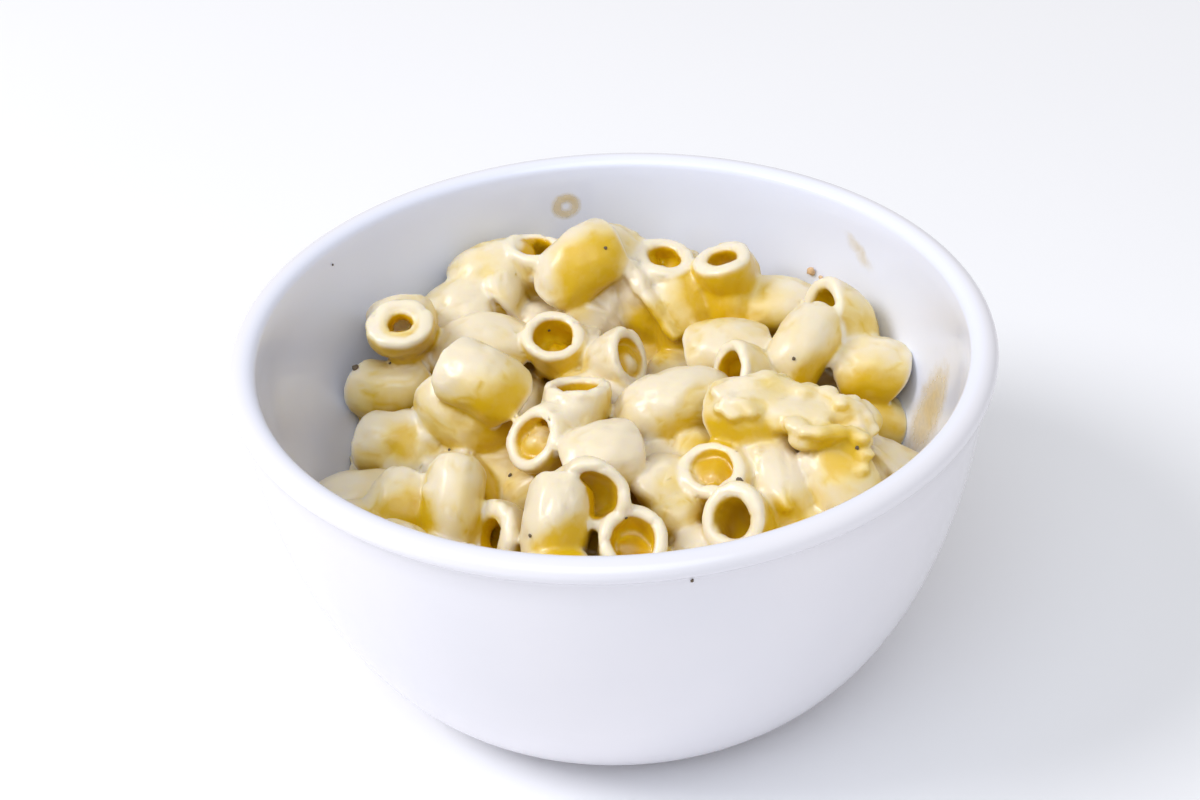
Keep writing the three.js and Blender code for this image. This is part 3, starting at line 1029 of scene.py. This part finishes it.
specks = []
for number, (x, y, z, size) in enumerate(PEPPER):
    place, normal = skin_tree.find_nearest((x, y, z))[:2]
    specks.append(speck(place, normal, size, number))
for number, (x, y, z, size) in enumerate(WALL_SPECKS):
    specks.append(speck(Vector((x, y, z)), Vector((x, y, 0)).normalized(), size, number))
crumbs = [speck(Vector(row[:3]), Vector((-row[0], -row[1], 0)).normalized(), row[3], i)
          for i, row in enumerate(WALL_CRUMBS)]

ground = Finish("pepper", Roughness=0.6)
ground.feed(Base_Color=ground.mix(ground.noise(3000), colour(70, 58, 48), colour(124, 106, 80)))
piece("pepper", added_up(specks), ground.data, "macaroni_heap")
crust = Finish("crumb", Roughness=0.5)
crust.feed(Base_Color=crust.mix(crust.noise(1500), colour(204, 158, 112), colour(230, 200, 160)))
piece("crumbs", added_up(crumbs), crust.data, "macaroni_heap")

# %% [markdown]
# ## Smears
#
# Where pasta or the spoon has touched the wall of the bowl, a thin film of sauce stays, once as
# a ring that the end of a tube has stamped. Each film is a small grid, bent to follow the wall
# just off its surface, and it fades out towards its edge and with noise. A row gives the
# direction in degrees and the height, half width and half height in millimetres, then how the
# film leans, how hollow it is and how strong.

# %% Smears
SMEARS = [
    (97, 48, 3.0, 2.7, 0, 0.55, 0.6), (37.5, 48, 1.8, 5, 55, 0, 0.4),
    (6, 34, 6, 11, -12, 0, 0.7), (132, 49, 0.5, 0.5, 0, 0, 0.1),
]
SMEAR_LIFT = 0.08 * MM
SMEAR_STEPS = 28
FILM_COLOURS = (colour(240, 218, 160), colour(230, 200, 132))


def smear(azimuth, height, half_width, half_height, lean, hollow, strength):
    """A film on the inner wall; hollow moves its strongest place outwards, to a ring."""
    bm = bmesh.new()
    bmesh.ops.create_grid(bm, x_segments=SMEAR_STEPS, y_segments=SMEAR_STEPS, size=1)
    fade = bm.verts.layers.float.new("fade")
    turn = Matrix.Rotation(math.radians(lean), 2)
    for vert in bm.verts:
        away = abs(vert.co.length - hollow) / (1 - hollow)
        vert[fade] = strength * max(0, 1 - away * away)
        across, upward = turn @ Vector((vert.co.x * half_width, vert.co.y * half_height)) * MM
        level = height * MM + upward
        radius = inner_radius(level) - SMEAR_LIFT
        angle = math.radians(azimuth) - across / radius
        vert.co = (radius * math.cos(angle), radius * math.sin(angle), level)
    return bm


film = Finish("sauce_film", Roughness=0.35)
faded = film.attribute("fade") + 0.5 * (film.noise(500, detail=3) - 0.5)
film.feed(Base_Color=film.mix(film.noise(300), *FILM_COLOURS), Alpha=film.steps(faded, 0, 1.2))
piece("wall_smears", added_up([smear(*row) for row in SMEARS]), film.data, "macaroni_heap")

# %% [markdown]
# ## Floor and light
#
# The dish stands on a plain pale table. The light is that of a room by day: one soft lamp from
# the left, high enough to reach over the lip, a larger and bluer one from above the front, and
# a faint warm light from all round.

# %% Floor and light
FLOOR_HALF_SIZE = 3
FLOOR_WHITES = (colour(245, 245, 247), colour(242, 242, 245))
ROOM_TINT, ROOM_STRENGTH = (1, 0.97, 0.95, 1), 0.55

table = Finish("pale_table", Roughness=0.6)
table.feed(Base_Color=table.mix(table.noise(6), *FLOOR_WHITES))
floor_bm = bmesh.new()
bmesh.ops.create_grid(floor_bm, x_segments=1, y_segments=1, size=FLOOR_HALF_SIZE)
floor_mesh = bpy.data.meshes.new("floor")
floor_bm.to_mesh(floor_mesh)
floor_bm.free()
floor = bpy.data.objects.new("floor", floor_mesh)
floor_mesh.materials.append(table.data)
bpy.context.scene.collection.objects.link(floor)


def lamp(name, direction, distance, size, power, tint):
    data = bpy.data.lights.new(name, "AREA")
    data.shape, data.size, data.energy, data.color = "DISK", size, power, tint
    made = bpy.data.objects.new(name, data)
    away = Vector(direction).normalized()
    turn = away.to_track_quat("Z", "Y").to_matrix().to_4x4()
    made.matrix_world = Matrix.Translation(TARGET + away * distance) @ turn
    bpy.context.scene.collection.objects.link(made)
    print(name, "stands at", tuple(round(c, 2) for c in made.matrix_world.translation))


lamp("window", direction=(-0.78, -0.12, 0.78), distance=1.2, size=0.5, power=7.8,
     tint=(0.98, 0.98, 1))
lamp("sky", direction=(-0.05, -0.5, 0.85), distance=1.5, size=1.4, power=9.5,
     tint=(0.78, 0.88, 1))
world = bpy.data.worlds.new("room")
world.use_nodes = True
background = world.node_tree.nodes["Background"]
background.inputs["Color"].default_value = ROOM_TINT
background.inputs["Strength"].default_value = ROOM_STRENGTH
bpy.context.scene.world = world
bpy.context.scene.view_settings.view_transform = "Standard"
